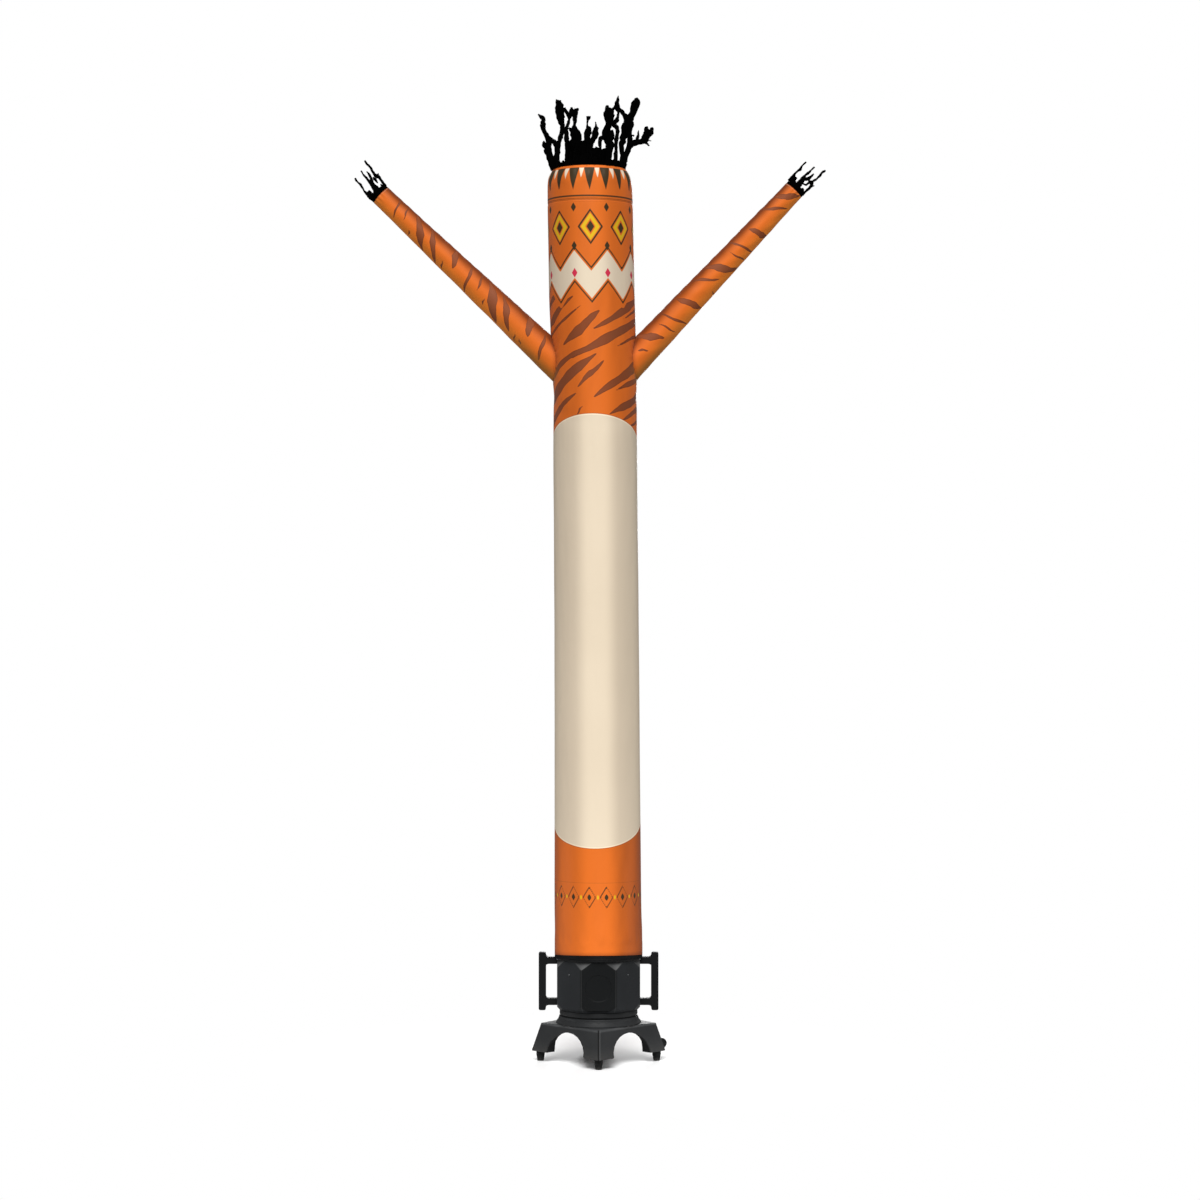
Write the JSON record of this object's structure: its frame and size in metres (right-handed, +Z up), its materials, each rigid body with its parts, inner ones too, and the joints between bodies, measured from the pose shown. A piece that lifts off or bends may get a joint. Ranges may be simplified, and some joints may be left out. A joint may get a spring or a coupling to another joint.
{
  "type": "inflatable air dancer with its floor blower",
  "caption": "Tall blown-up nylon tube figure with a tiger print, raised tapered arms and ragged black hair and hands, held upright on a black octagonal floor blower on an arched base.",
  "frame": {"origin": "on the floor under the middle of the spread arms, 30 mm to the left of the blower's axis", "axes": "+Z up along the tube, the printed front faces -Y, +X to the right seen from the front"},
  "size_m": [1.6388, 0.4666, 3.3582],
  "materials": {
    "orange_cloth": "printed ripstop nylon, low sheen",
    "black_cloth": "black nylon, cut ragged",
    "charcoal_plastic": "satin moulded plastic",
    "black_plastic": "satin moulded plastic",
    "black_rubber": "matt"
  },
  "bodies": {
    "root": {"tube_body": "orange_cloth", "tube_chest": "orange_cloth", "tube_head": "orange_cloth", "head_cap": "orange_cloth", "arm_left": "orange_cloth", "arm_right": "orange_cloth", "hair_fringe": "black_cloth", "hand_fringe_left": "black_cloth", "hand_fringe_right": "black_cloth", "outlet_ring": "black_plastic", "fan_drum": "charcoal_plastic", "neck_ring": "charcoal_plastic", "blower_base": "charcoal_plastic", "handle_left": "black_plastic", "handle_right": "black_plastic", "cord_gland": "black_rubber", "foot_front": "black_rubber", "foot_right": "black_rubber", "foot_back": "black_rubber", "foot_left": "black_rubber"}
  },
  "joints": []
}
